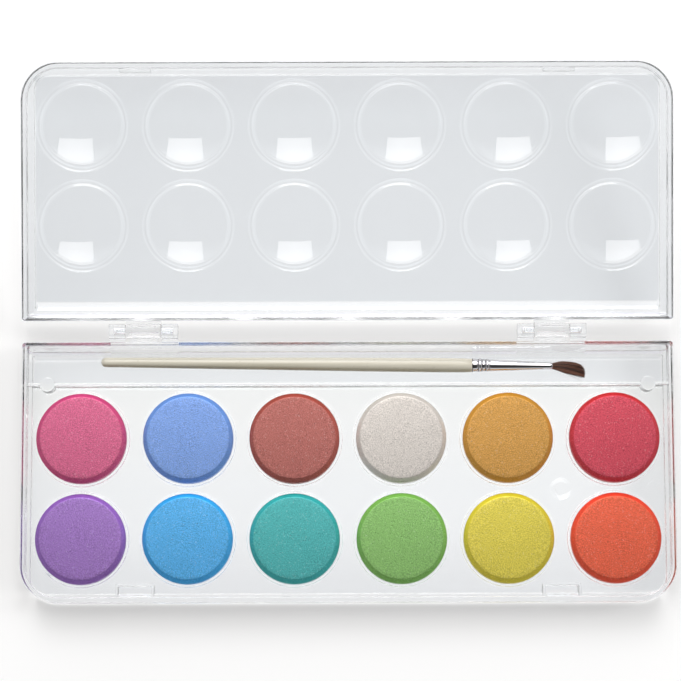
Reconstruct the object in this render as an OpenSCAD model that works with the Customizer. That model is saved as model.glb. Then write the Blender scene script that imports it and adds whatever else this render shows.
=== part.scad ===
// Watercolour pan set: a clear moulded box that opens flat, with twelve round
// paint cakes in the tray, mixing wells in the lid and a brush in a trough.
// Millimetres. Origin: centre of the tray's underside, +Z up, +Y to the hinge.
// The lid is drawn open, lying back on its hinge stop.

/* [Box] */
// Width of the tray
box_w = 216.6; // [214:0.2:224]
// Depth of the tray, front to hinge side
box_d = 86.5; // [86:0.1:90]
// Height of the tray
tray_h = 9; // [8.6:0.1:12]
// Wall thickness of the tray and the lid
wall_t = 1.8; // [1.4:0.1:2.2]
// Thickness of the tray's floor
floor_t = 1.6; // [1.2:0.1:2]
// Radius of the rounded front corners
front_r = 12.5; // [8:0.5:16]
// Radius of the corners beside the hinge
rear_r = 1; // [0.8:0.1:2]
// Inset of the slope inside the tray's hinge-side wall, at its foot
slope_w = 4.4; // [3:0.1:4.5]
// Thickness of the tray's front and side walls below their ledge
tray_foot_t = 3.05; // [2.4:0.05:3.3]
// Height of the tray's ledge above the floor
tray_ledge_h = 3.2; // [2:0.1:4]
// Chamfer under the tray's hinge-side wall
rear_chamfer = 0.95; // [0.4:0.05:1.2]

/* [Lid] */
// Width of the lid
lid_w = 217.2; // [214:0.2:224]
// Depth of the lid, front to hinge side
lid_d = 86.2; // [85.8:0.1:88]
// Height of the lid's walls
lid_h = 7; // [6.5:0.1:9]
// Thickness of the lid's panel
panel_t = 1.6; // [1.3:0.1:2]
// Thickness of the lid's front and side walls below their ledge
lid_foot_t = 4.15; // [2.6:0.05:4.2]
// Height of the lid's ledge above the panel
lid_ledge_h = 2.4; // [1.5:0.1:3]
// Width of the hollow inside the lid's hinge-side wall
hollow_w = 6.3; // [4:0.1:7]
// Radius of a mixing well's dished floor
dish_r = 12.85; // [11:0.05:13]
// Distance of the dish's edge below the panel
dish_drop = 0.12; // [0.05:0.01:0.3]
// Spherical radius of the dish
dish_R = 38; // [34:1:60]
// Thickness of the dished floor
dish_t = 1.3; // [1:0.1:1.6]
// Radius of the groove around a dish
groove_r = 14.4; // [14.2:0.05:14.5]
// Depth of the groove
groove_h = 0.48; // [0.3:0.02:0.7]

/* [Paint cakes] */
// Diameter of a paint cake
cake_d = 30; // [28:0.2:30.2]
// Height of a paint cake
cake_h = 5.2; // [4:0.1:6]
// Width of the bevel around a cake's top
cake_bevel = 1.3; // [0.6:0.1:2]
// Height of that bevel
cake_bevel_h = 1.2; // [0.5:0.1:1.6]
// Column spacing
pitch_x = 35.45; // [34:0.05:35.6]
// Row spacing
pitch_y = 33.5; // [32.6:0.1:33.8]
// Row nearer the hinge, measured from the tray's centre
rear_row_y = 11.45; // [11:0.05:11.6]
// Height of the collar around a cake, above the floor
collar_h = 1.3; // [1:0.1:3]
// Thickness of the collar
collar_t = 0.8; // [0.6:0.1:1]

/* [Trough and catches] */
// Centre line of the rib between the trough and the cakes
rib_y = 29.4; // [28.6:0.1:29.6]
// Thickness of the rib
rib_t = 1.2; // [0.9:0.1:1.4]
// Height of the rib above the floor
rib_h = 4.9; // [3:0.1:6]
// Radius of the posts on the rib
post_r = 2.5; // [2:0.1:2.8]
// Distance of a post from the middle
post_x = 100; // [98:0.5:102]
// Distance of a catch from the middle
catch_x = 70.4; // [70:0.2:71.4]
// Width of the catch pocket
catch_w = 12.8; // [12:0.2:13.4]

/* [Hinge] */
// Distance of a hinge from the middle
hinge_x = 67.9; // [60:0.1:75]
// Distance of the pin axis behind the tray's rear wall
axis_back = 3.5; // [3.4:0.05:4]
// Length of the lid's knuckle
knuckle_l = 11.6; // [10:0.1:14]
// Length of one tray ear
ear_l = 5.5; // [5:0.1:7]
// Side gap between the knuckle and an ear
ear_gap = 0.2; // [0.15:0.05:0.4]
// Radius of the stub pins
pin_r = 1.05; // [0.9:0.05:1.2]
// Length of a stub pin
pin_l = 3.3; // [2.5:0.1:3.6]
// Radial running clearance of the pins
pin_clear = 0.05; // [0.03:0.01:0.08]
// Angle between the open lid and the table
lid_lift = 10; // [8:0.5:14]

/* [Brush] */
// Length of the handle that shows
handle_l = 123.9; // [110:0.1:126]
// Radius of the handle's butt
butt_r = 1.6; // [1.3:0.05:1.9]
// Largest radius of the handle
belly_r = 2.45; // [2.2:0.05:2.6]
// Length of the ferrule
ferrule_l = 26.8; // [22:0.1:28]
// Outer radius of the ferrule at the handle
ferrule_r0 = 2.3; // [2.1:0.05:2.4]
// Outer radius of the ferrule at the hair
ferrule_r1 = 1.12; // [1:0.02:1.3]

/* [Hidden] */
$fn = 64;

rim_gap = 0.1;                       // rim plane below the pin axis, on each half
axis_y = box_d/2 + axis_back;
axis_z = tray_h + rim_gap;
clear_col = [0.88, 0.92, 0.95, 0.45];
lid_s0 = axis_back;                  // lid's hinge-side face, from the axis
lid_s1 = lid_s0 + lid_d;             // lid's front face, from the axis
lid_z0 = -rim_gap - lid_h;           // lid's outer face, in the lid's frame
panel_z = lid_z0 + panel_t;          // lid panel's inner face
dish_c = sqrt(dish_R*dish_R - dish_r*dish_r) - dish_drop;  // height of the dish's centre
ear_x0 = knuckle_l/2 + ear_gap;      // inner face of an ear, from the hinge's middle
hinge_r = 2.4;                       // half height of the hinge barrels
// brush axis: butt end and its direction
brush_x0 = -82.4;
brush_y0 = 37.25;
brush_yaw = -0.70;
brush_pitch = -asin((belly_r - butt_r)/116);
brush_z0 = floor_t + butt_r + 0.12;   // the handle rests just on the floor

// plan outline with round corners at the front (-Y) and square ones at the rear
module outline(w, d, rf, rr) {
    translate([-w/2, -d/2 + rf]) square([w, d - rf - rr]);
    translate([-w/2 + rf, -d/2]) square([w - 2*rf, d/2]);
    translate([-w/2 + rr, 0]) square([w - 2*rr, d/2]);
    for (s = [-1, 1]) {
        translate([s*(w/2 - rf), -d/2 + rf]) circle(r = rf);
        translate([s*(w/2 - rr), d/2 - rr]) circle(r = rr);
    }
}

// open box: outer outline w by d, height h, base thickness b; its front and side
// walls are ft thick up to a ledge lh above the base, with inner corners of radius fr
module shell(w, d, h, b, ft, lh, fr) {
    difference() {
        linear_extrude(height = h) outline(w, d, front_r, rear_r);
        translate([0, 0, b + lh]) linear_extrude(height = h)
            outline(w - 2*wall_t, d - 2*wall_t, front_r - wall_t, 0.4);
        translate([0, (ft - wall_t - 0.05)/2, b]) linear_extrude(height = h)
            outline(w - 2*ft, d - wall_t - ft - 0.05, fr, 0.4);
    }
}

// slope inside the tray's hinge-side wall, with a small fillet at its foot
module rear_slope() {
    y = box_d/2;
    translate([-box_w/2 + wall_t - 0.3, 0, 0]) along_x(box_w - 2*wall_t + 0.6)
        polygon([[y - wall_t + 0.3, floor_t - 0.3], [y - slope_w - 0.7, floor_t - 0.3],
                 [y - slope_w - 0.7, floor_t + 0.02], [y - slope_w - 0.3, floor_t + 0.2],
                 [y - slope_w, floor_t + 0.75], [y - wall_t, tray_h - 0.8],
                 [y - wall_t + 0.3, tray_h - 0.8]]);
}

// hollow inside the lid's hinge-side wall: a quarter of an ellipse, flat at the panel
module rear_hollow() {
    y = lid_d/2 - 1.3;
    hz = lid_h - 0.4 - panel_t;
    n = 12;
    translate([-lid_w/2 + wall_t - 0.3, 0, 0]) along_x(lid_w - 2*wall_t + 0.6)
        polygon(concat(
            [[y + 0.3, panel_t - 0.3], [y - hollow_w + 0.4, panel_t - 0.3]],
            [for (k = [n - 1:-1:0]) [y - hollow_w*(1 - cos(90*k/n)), panel_t + hz*(1 - sin(90*k/n))]],
            [[y + 0.3, panel_t + hz]]));
}

// chamfer along the bottom of the tray's hinge side, left out at each hinge
module chamfer_cut() {
    c = rear_chamfer;
    for (x = [[-box_w/2 - 1, -hinge_x - 11.4], [-hinge_x + 11.4, hinge_x - 11.4], [hinge_x + 11.4, box_w/2 + 1]])
        translate([x[0], box_d/2, 0]) along_x(x[1] - x[0])
            polygon([[0.2, -0.2], [0.2, c + 0.2], [-c - 0.2, -0.2]]);
}

// section of a hinge barrel, from the wall side (-Y, at -axis_back) to the tip
module barrel_2d() {
    translate([-2.45, -hinge_r]) square([2.45 + 2.2, hinge_r + 2.05]);
    translate([-axis_back - 0.4, -hinge_r]) square([2, hinge_r - rim_gap]);
}

module along_x(l) { rotate([90, 0, 90]) linear_extrude(height = l) children(); }

module ears() {
    for (h = [-1, 1], s = [-1, 1])
        translate([h*hinge_x + (s > 0 ? ear_x0 : -ear_x0 - ear_l), axis_y, axis_z])
            along_x(ear_l) barrel_2d();
}

module ear_bores() {
    r = pin_r + pin_clear;
    for (h = [-1, 1], s = [-1, 1])
        translate([h*hinge_x + s*(ear_x0 - 0.5), axis_y, axis_z])
            rotate([0, s*90, 0]) cylinder(r = r, h = pin_l + 0.8 - ear_gap + 0.5);
}

module collar(x, y) {
    translate([x, y, floor_t - 0.2]) difference() {
        cylinder(r = cake_d/2 + 0.2 + collar_t, h = collar_h + 0.2);
        translate([0, 0, -1]) cylinder(r = cake_d/2 + 0.2, h = collar_h + 3);
    }
}

// pocket in the front wall that takes the lid's tongue
module catch_pocket(x) {
    y0 = -box_d/2 + wall_t;
    t = 0.9;
    translate([x - catch_w/2, y0 - 0.3, floor_t - 0.2]) difference() {
        cube([catch_w, 4.85, 6.1]);
        translate([t, -1, -1]) cube([catch_w - 2*t, 4.85 + 1 - t, 9]);
    }
    translate([x - 5, y0 - 0.3, tray_h - 1]) cube([10, 1.2, 0.8]);
}

module tray() {
    color(clear_col) difference() {
        union() {
            shell(box_w, box_d, tray_h, floor_t, tray_foot_t, tray_ledge_h, 6.6);
            rear_slope();
            translate([-box_w/2 + wall_t - 0.3, rib_y - rib_t/2, floor_t - 0.2])
                cube([box_w - 2*wall_t + 0.6, rib_t, rib_h + 0.2]);
            for (s = [-1, 1]) {
                translate([s*post_x, rib_y, floor_t - 0.2]) cylinder(r = post_r, h = rib_h + 0.2);
                catch_pocket(s*catch_x);
            }
            for (i = [0:5], j = [0:1])
                collar((i - 2.5)*pitch_x, rear_row_y - j*pitch_y);
            ears();
        }
        ear_bores();
        chamfer_cut();
    }
}

// the lid in its own frame: pin axis along X at the origin, rim plane just below it
module mixing_well_outside() {
    intersection() {
        translate([0, 0, dish_c]) sphere(r = dish_R + dish_t, $fn = 96);
        translate([0, 0, -7]) cylinder(r = dish_r + 1, h = 6);
    }
}

// shallow dish with a round-bottomed groove about it
module mixing_well_inside() {
    intersection() {
        translate([0, 0, dish_c]) sphere(r = dish_R, $fn = 96);
        translate([0, 0, -6]) cylinder(r = dish_r + 0.6, h = 6.2);
    }
    rotate_extrude() translate([groove_r, 1 - groove_h]) circle(r = 1, $fn = 32);
}

// tongue that drops into the tray's catch pocket, with a small snap bead
module tongue(x) {
    s0 = axis_y + box_d/2 - wall_t - 2.1;
    translate([x - 5.2, s0, -3.6]) cube([10.4, 1, 6]);
    translate([x - 5.2, s0, -3.6]) cube([10.4, lid_s1 - wall_t + 0.3 - s0, 3.1]);
    translate([x - 4, s0 + 1, 0]) rotate([90, 0, 90]) linear_extrude(height = 8)
        polygon([[-0.2, 1.2], [0, 1.2], [0.35, 1.5], [0.35, 1.6], [0, 1.9], [-0.2, 1.9]]);
}

module knuckle(x) {
    translate([x - knuckle_l/2, 0, 0]) difference() {
        mirror([0, 1, 0]) along_x(knuckle_l) barrel_2d();
        // window that shows the barrel from above
        translate([1.75, -1.6, 1.0]) cube([knuckle_l - 3.5, 3.2, 2]);
    }
    // stub pins
    for (s = [-1, 1]) translate([x + s*(knuckle_l/2 - 0.5), 0, 0])
        rotate([0, s*90, 0]) cylinder(r = pin_r, h = pin_l + 0.5);
    // heel that meets the tray's rear wall and stops the lid
    rotate([-lid_lift, 0, 0]) translate([x - knuckle_l/2 + 1, -axis_back + 0.15, -3.1])
        cube([knuckle_l - 2, axis_back, 1.8]);
}

module lid_closed_form() {
    difference() {
        union() {
            translate([0, lid_s0 + lid_d/2, lid_z0]) mirror([0, 1, 0]) {
                shell(lid_w, lid_d, lid_h, panel_t, lid_foot_t, lid_ledge_h, 5.3);
                rear_hollow();
            }
            for (i = [0:5], j = [0:1])
                translate([(i - 2.5)*pitch_x, axis_y - rear_row_y + j*pitch_y, panel_z])
                    mixing_well_outside();
            for (s = [-1, 1]) {
                tongue(s*catch_x);
                knuckle(s*hinge_x);
            }
        }
        for (i = [0:5], j = [0:1])
            translate([(i - 2.5)*pitch_x, axis_y - rear_row_y + j*pitch_y, panel_z])
                mixing_well_inside();
    }
}

module lid() {
    color(clear_col)
        translate([0, axis_y, axis_z]) rotate([lid_lift, 0, 0]) lid_closed_form();
}

// a pressed cake of paint with a bevelled top edge, in column i and row j
module cake(i, j, c, dx = 0, dy = 0) {
    r = cake_d/2;
    color(c) translate([(i - 2.5)*pitch_x + dx, rear_row_y - j*pitch_y + dy, floor_t]) {
        cylinder(r = r, h = cake_h - cake_bevel_h);
        translate([0, 0, cake_h - cake_bevel_h]) cylinder(r1 = r, r2 = r - cake_bevel, h = cake_bevel_h);
    }
}

module paint_pink()       { cake(0, 0, [0.82, 0.43, 0.55]); }
module paint_periwinkle() { cake(1, 0, [0.51, 0.63, 0.86]); }
module paint_rust()       { cake(2, 0, [0.71, 0.44, 0.41], -0.06, -0.1); }
module paint_pearl()      { cake(3, 0, [0.83, 0.80, 0.77]); }
module paint_ochre()      { cake(4, 0, [0.80, 0.60, 0.34]); }
module paint_crimson()    { cake(5, 0, [0.79, 0.33, 0.38]); }
module paint_violet()     { cake(0, 1, [0.60, 0.46, 0.72]); }
module paint_azure()      { cake(1, 1, [0.36, 0.66, 0.87]); }
module paint_teal()       { cake(2, 1, [0.34, 0.67, 0.67]); }
module paint_green()      { cake(3, 1, [0.53, 0.70, 0.43]); }
module paint_yellow()     { cake(4, 1, [0.82, 0.76, 0.35]); }
module paint_orange()     { cake(5, 1, [0.85, 0.40, 0.30]); }

// the brush's own frame: its axis along +X, from the butt
module brush_frame() {
    translate([brush_x0, brush_y0, brush_z0]) rotate([0, 0, brush_yaw])
        rotate([0, brush_pitch, 0]) rotate([0, 90, 0]) children();
}

module brush_handle() {
    n = 6;
    color([0.86, 0.84, 0.77]) brush_frame() rotate_extrude()
        polygon(concat(
            [[0, 0]],
            [for (k = [1:n]) [butt_r*sin(90*k/n), butt_r*(1 - cos(90*k/n))]],
            [[butt_r + 0.42*(belly_r - butt_r), 40], [butt_r + 0.8*(belly_r - butt_r), 80],
             [belly_r, 112], [belly_r, 117], [ferrule_r0 - 0.02, handle_l],
             [1.9, handle_l], [1.85, handle_l + 8], [0, handle_l + 8]]));
}

// tapered tube with two crimped ridges near the handle
module brush_ferrule() {
    k = (ferrule_r1 - ferrule_r0)/ferrule_l;
    function ro(z) = ferrule_r0 + k*z;
    z0 = handle_l + 0.02;
    color([0.78, 0.78, 0.80]) brush_frame() translate([0, 0, z0]) rotate_extrude()
        polygon(concat(
            [[1.93, 0], [ro(0), 0], [ro(2.2), 2.2]],
            [for (c = [2.7, 5.2], p = [[-0.5, 0], [-0.25, 0.14], [0.25, 0.14], [0.5, 0]])
                [ro(c + p[0]) + p[1], c + p[0]]],
            [[ferrule_r1, ferrule_l], [ferrule_r1 - 0.2, ferrule_l],
             [ro(8.1) - 0.25, 8.1], [1.93, 8.02]]));
}

// set glue that bonds the hair's root inside the ferrule
module brush_glue_plug() {
    k = (ferrule_r1 - ferrule_r0)/ferrule_l;
    function ri(z) = ferrule_r0 + k*z - 0.3;
    color([0.75, 0.62, 0.35]) brush_frame() translate([0, 0, handle_l + 0.02 + 9.4])
        cylinder(r1 = ri(9.4), r2 = ri(15), h = 5.6);
}

// tuft of brown hair: straight root inside the ferrule, then a swelling body
// that leans to the rib and ends bluntly
module brush_tuft() {
    z0 = handle_l + 0.02;
    k = (ferrule_r1 - ferrule_r0)/ferrule_l;
    function ri(z) = ferrule_r0 + k*z - 0.3;
    // centre line and radius of the part that shows
    c = [[0, 0, 0.9], [2.4, 0, 1.5], [5.2, -0.45, 2.0], [8, -1.05, 2.1], [9.4, -1.6, 1.7]];
    color([0.31, 0.20, 0.16]) brush_frame() translate([0, 0, z0]) {
        translate([0, 0, 18.8]) cylinder(r1 = ri(18.8) - 0.05, r2 = ri(26) - 0.05, h = ferrule_l - 18.8 + 0.3);
        for (i = [0:3]) hull() {
            translate([0, c[i][1], ferrule_l + 0.9 + c[i][0]]) sphere(r = c[i][2], $fn = 24);
            translate([0, c[i+1][1], ferrule_l + 0.9 + c[i+1][0]]) sphere(r = c[i+1][2], $fn = 24);
        }
    }
}

tray();
lid();
paint_pink();
paint_periwinkle();
paint_rust();
paint_pearl();
paint_ochre();
paint_crimson();
paint_violet();
paint_azure();
paint_teal();
paint_green();
paint_yellow();
paint_orange();
brush_handle();
brush_ferrule();
brush_glue_plug();
brush_tuft();
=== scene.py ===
import bpy, bmesh, math, random
from mathutils import Vector, Matrix, noise


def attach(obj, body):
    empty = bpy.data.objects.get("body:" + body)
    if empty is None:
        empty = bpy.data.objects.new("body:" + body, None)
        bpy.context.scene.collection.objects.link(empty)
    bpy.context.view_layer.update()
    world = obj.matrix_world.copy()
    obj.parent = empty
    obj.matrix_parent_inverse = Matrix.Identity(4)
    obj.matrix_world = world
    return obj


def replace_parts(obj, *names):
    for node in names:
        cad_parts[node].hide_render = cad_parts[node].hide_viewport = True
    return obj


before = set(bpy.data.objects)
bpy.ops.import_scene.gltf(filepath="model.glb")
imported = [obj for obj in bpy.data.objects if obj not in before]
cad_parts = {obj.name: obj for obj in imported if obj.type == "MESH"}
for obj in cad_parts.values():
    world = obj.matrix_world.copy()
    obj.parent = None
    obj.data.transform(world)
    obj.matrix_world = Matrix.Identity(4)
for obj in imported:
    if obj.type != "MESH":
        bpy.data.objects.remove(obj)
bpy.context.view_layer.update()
sc = bpy.context.scene
random.seed(7)

# ---------------------------------------------------------------- dimensions (mm), as in the CAD source
BOX_W, BOX_D, TRAY_H, FLOOR_T = 216.6, 86.5, 9.0, 1.6
LID_W, LID_D, LID_H, PANEL_T = 217.2, 86.2, 7.0, 1.6
AXIS_BACK, RIM_GAP = 3.5, 0.1
AXIS_Y, AXIS_Z = BOX_D / 2 + AXIS_BACK, TRAY_H + RIM_GAP
LID_LIFT = math.radians(10)
LID_Z0 = -RIM_GAP - LID_H
PANEL_Z = LID_Z0 + PANEL_T
PITCH_X, PITCH_Y, ROW_Y = 35.45, 33.5, 11.45
CAKE_R, CAKE_H = 15.0, 5.2
DISH_R, DISH_Z, DISH_RAD, DISH_T = 12.879, -0.109, 38.0, 1.3
COVE = 4.6
RIB_Y, RIB_T, RIB_TOP = 29.4, 1.2, 6.5
POST_X, POST_R = 100.0, 2.5
CATCH_X, CATCH_W = 70.4, 12.8
HINGE_X, KNUCKLE_L, EAR_L, EAR_GAP = 67.9, 11.6, 5.5, 0.2
PIN_R, PIN_L, PIN_CLEAR = 1.05, 3.3, 0.05
EAR_X0 = KNUCKLE_L / 2 + EAR_GAP
COLS = [(i - 2.5) * PITCH_X for i in range(6)]
MM = 0.001


# ---------------------------------------------------------------- mesh helpers (all in mm until placed)
def new_obj(name, verts, faces):
    me = bpy.data.meshes.new(name)
    me.from_pydata([tuple(v) for v in verts], [], faces)
    bm = bmesh.new()
    bm.from_mesh(me)
    bmesh.ops.remove_doubles(bm, verts=bm.verts, dist=1e-5)
    if bm.calc_volume(signed=True) < 0:
        bmesh.ops.reverse_faces(bm, faces=bm.faces)
    bm.to_mesh(me)
    bm.free()
    ob = bpy.data.objects.new(name, me)
    sc.collection.objects.link(ob)
    return ob


def loft(rings):
    n = len(rings[0])
    verts = [p for r in rings for p in r]
    faces = []
    for k in range(len(rings) - 1):
        a, b = k * n, (k + 1) * n
        for i in range(n):
            j = (i + 1) % n
            faces.append((a + i, a + j, b + j, b + i))
    faces.append(tuple(reversed(range(n))))
    faces.append(tuple((len(rings) - 1) * n + i for i in range(n)))
    return verts, faces


def revolve(profile, n, cx=0.0, cy=0.0, cz=0.0, start=None):
    """Closed solid of revolution about Z. profile is a list of (r, z); points with r = 0 become poles."""
    verts, faces = ([], []) if start is None else start
    idx = []
    for r, z in profile:
        if r < 1e-9:
            idx.append([len(verts)])
            verts.append((cx, cy, cz + z))
        else:
            idx.append(list(range(len(verts), len(verts) + n)))
            for k in range(n):
                a = 2 * math.pi * k / n
                verts.append((cx + r * math.cos(a), cy + r * math.sin(a), cz + z))
    pairs = list(zip(idx, idx[1:]))
    if profile[0][0] > 1e-9:
        pairs.append((idx[-1], idx[0]))
    for a, b in pairs:
        for k in range(n):
            k2 = (k + 1) % n
            if len(a) == 1 and len(b) == 1:
                continue
            if len(a) == 1:
                faces.append((a[0], b[k2], b[k]))
            elif len(b) == 1:
                faces.append((a[k], a[k2], b[0]))
            else:
                faces.append((a[k], a[k2], b[k2], b[k]))
    return verts, faces


def prism_x(poly, x0, x1):
    """Polygon in (y, z) drawn out along X."""
    n = len(poly)
    verts = [(x0, y, z) for y, z in poly] + [(x1, y, z) for y, z in poly]
    faces = [(i, (i + 1) % n, n + (i + 1) % n, n + i) for i in range(n)]
    faces += [tuple(reversed(range(n))), tuple(range(n, 2 * n))]
    return verts, faces


def prism_z(poly, z0, z1):
    n = len(poly)
    verts = [(x, y, z0) for x, y in poly] + [(x, y, z1) for x, y in poly]
    faces = [(i, (i + 1) % n, n + (i + 1) % n, n + i) for i in range(n)]
    faces += [tuple(reversed(range(n))), tuple(range(n, 2 * n))]
    return verts, faces


def round_poly(poly, radii, seg=4):
    """Polygon with its corners rounded: radii is one number, or one per corner."""
    out = []
    n = len(poly)
    for i in range(n):
        p0, p1, p2 = (Vector(poly[(i + k) % n]) for k in (-1, 0, 1))
        r = radii if isinstance(radii, (int, float)) else radii[i]
        if r <= 0:
            out.append(tuple(p1))
            continue
        a, b = (p0 - p1).normalized(), (p2 - p1).normalized()
        ang = a.angle(b)
        t = min(r / math.tan(ang / 2), 0.49 * (p0 - p1).length, 0.49 * (p2 - p1).length)
        r2 = t * math.tan(ang / 2)
        c = p1 + (a + b).normalized() * (r2 / math.sin(ang / 2))
        s, e = p1 + a * t - c, p1 + b * t - c
        a0 = math.atan2(s.y, s.x)
        d = math.atan2(e.y, e.x) - a0
        while d > math.pi:
            d -= 2 * math.pi
        while d < -math.pi:
            d += 2 * math.pi
        for k in range(seg + 1):
            q = a0 + d * k / seg
            out.append((c.x + r2 * math.cos(q), c.y + r2 * math.sin(q)))
    return out


def bevelled(ob, offset, seg=2, pick=None):
    bm = bmesh.new()
    bm.from_mesh(ob.data)
    edges = [e for e in bm.edges if len(e.link_faces) == 2 and e.calc_face_angle(0) > 0.6 and (pick is None or pick(e))]
    bmesh.ops.bevel(bm, geom=edges, offset=offset, segments=seg, profile=0.5, affect="EDGES", clamp_overlap=True)
    bm.to_mesh(ob.data)
    bm.free()
    return ob


def boolean(a, b, op):
    m = a.modifiers.new("cut", "BOOLEAN")
    m.operation, m.object = op, b
    m.solver = "MANIFOLD"
    dg = bpy.context.evaluated_depsgraph_get()
    me = bpy.data.meshes.new_from_object(a.evaluated_get(dg))
    a.modifiers.clear()
    a.data = me
    bpy.data.objects.remove(b)
    return a


def transform(ob, mat):
    ob.data.transform(mat)
    ob.data.update()


def smooth(ob, angle=32, weighted=True):
    me = ob.data
    me.polygons.foreach_set("use_smooth", [True] * len(me.polygons))
    me.set_sharp_from_angle(angle=math.radians(angle))
    if weighted:
        m = ob.modifiers.new("flat_normals", "WEIGHTED_NORMAL")
        m.mode, m.weight, m.keep_sharp = "FACE_AREA", 90, True
    return ob


def mark_walls(ob, w, y0, y1, hollow=None):
    """Second slot for the steep outer walls, which dim a lamp more than the flat panels do; third for the rest of the walls."""
    for f in ob.data.polygons:
        c = f.center
        near = abs(c.x) > w / 2 - 2.6 or c.y < y0 + 2.6
        wall = abs(c.x) > w / 2 - 4.6 or c.y < (hollow or y0 + 4.6) or c.y > y1 - 4.6
        f.material_index = 1 if near and abs(f.normal.z) < 0.55 else 2 if wall and f.normal.z > -0.6 else 0


def tidy(ob, split=False):
    bm = bmesh.new()
    bm.from_mesh(ob.data)
    if split:
        bmesh.ops.triangulate(bm, faces=[f for f in bm.faces if len(f.verts) > 4], quad_method="BEAUTY", ngon_method="BEAUTY")
    bmesh.ops.remove_doubles(bm, verts=bm.verts, dist=0.0015)
    bmesh.ops.dissolve_degenerate(bm, edges=bm.edges, dist=0.0015)
    bm.to_mesh(ob.data)
    bm.free()


# ---------------------------------------------------------------- box shells
def ring(w, d, ds, dr, zs, zr, rf, rr, nf=22, nr=6):
    """One loop of the shell: ds, zs on the front and sides, dr, zr on the hinge side."""
    x0, x1, y0, y1 = -w / 2 + ds, w / 2 - ds, -d / 2 + ds, d / 2 - dr
    pts = []
    for cx, cy, r, a0, n, t0, t1 in (
        (x1 - rf, y0 + rf, rf, -90, nf, 0, 0),
        (x1 - rr, y1 - rr, rr, 0, nr, 0, 1),
        (x0 + rr, y1 - rr, rr, 90, nr, 1, 0),
        (x0 + rf, y0 + rf, rf, 180, nf, 0, 0),
    ):
        for k in range(n + 1):
            f = k / n
            a = math.radians(a0 + 90 * f)
            t = t0 + (t1 - t0) * f
            pts.append((cx + r * math.cos(a), cy + r * math.sin(a), zs * (1 - t) + zr * t))
    return pts


def arc(x0, z0, x1, z1, n, first_down):
    """Quarter turn between two points, leaving the first one straight down or straight across."""
    out = []
    for k in range(n + 1):
        a = math.radians(90 * k / n)
        u, v = (1 - math.cos(a), math.sin(a)) if first_down else (math.sin(a), 1 - math.cos(a))
        out.append((x0 + (x1 - x0) * u, z0 + (z1 - z0) * v))
    return out


def resample(path, n):
    """n points spread evenly along a polyline."""
    d = [0.0]
    for p, q in zip(path, path[1:]):
        d.append(d[-1] + math.dist(p, q))
    out = []
    for k in range(n):
        t = d[-1] * k / (n - 1)
        i = max(j for j in range(len(d) - 1) if d[j] <= t + 1e-9)
        f = (t - d[i]) / (d[i + 1] - d[i])
        out.append(tuple(u + (w - u) * f for u, w in zip(path[i], path[i + 1])))
    return out


def shell(name, w, d, h, base, edge, cham, rim_s, rim_r, ledge, foot_s, foot_r, rear, lip_r):
    """Open moulding: outer wall, rounded rim, a stepped inner wall on the front and sides, and its own section on the hinge side."""
    rf, rr, lip, draft = 12.5, 1.0, 0.3, 0.06
    R = []

    def add(ds, dr, zs, zr=None, f=None, r=None):
        R.append(ring(w, d, ds, dr, zs, zs if zr is None else zr, rf - ds if f is None else f, rr if r is None else r))

    for k in range(10):
        a = math.radians(90 * k / 9)
        t = k / 9
        add(draft + edge * (1 - math.sin(a)), draft + cham * (1 - t), edge * (1 - math.cos(a)), cham * t)
    add(draft * lip / h, draft * lip_r / h, h - lip, h - lip_r)
    for k in range(1, 8):
        a = math.radians(90 * k / 7)
        add(lip * (1 - math.cos(a)), lip_r * (1 - math.cos(a)), h - lip + lip * math.sin(a), h - lip_r + lip_r * math.sin(a))
    for k in range(5):
        a = math.radians(90 * k / 4)
        o = lip * (1 - math.sin(a))
        z = h - lip + lip * math.cos(a)
        add(rim_s - o, rim_r - o, z, None, None, 0.9)
    c = 0.3
    side = arc(rim_s + 0.04, ledge + c, rim_s + 0.04 + c, ledge, 4, True)
    side += arc(foot_s - c, ledge, foot_s, ledge - c, 4, False)
    side += arc(foot_s + 0.03, base + c, foot_s + 0.03 + c, base, 4, True)
    back = resample(rear, len(side))
    for (ds, zs), (dr, zr) in zip(side, back):
        f = (rf - rim_s) + (foot_r - rf + rim_s) * min(1, max(0, (ds - rim_s) / (foot_s - rim_s)))
        add(ds, dr, zs, zr, f, 0.8)
    return new_obj(name, *loft(R))


# hinge barrel section, in (y, z) about the pin axis; the wall is at y = -AXIS_BACK
def barrel(back):
    poly = [(-back, -2.4), (2.2, -2.4), (2.2, 2.05), (-2.45, 2.05), (-2.45, -RIM_GAP - 0.02), (-back, -RIM_GAP - 0.02)]
    return round_poly(poly, [0, 0.9, 0.7, 0.7, 0.25, 0], 5)


def hinge_bore(x, s):
    v, f = revolve([(0, -0.5), (PIN_R + PIN_CLEAR, -0.5), (PIN_R + PIN_CLEAR, PIN_L + 0.45), (PIN_R - 0.2, PIN_L + 0.6), (0, PIN_L + 0.6)], 40)
    ob = new_obj("bore", v, f)
    transform(ob, Matrix.Translation((x + s * EAR_X0, AXIS_Y, AXIS_Z)) @ Matrix.Rotation(s * math.pi / 2, 4, "Y"))
    return ob


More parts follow.
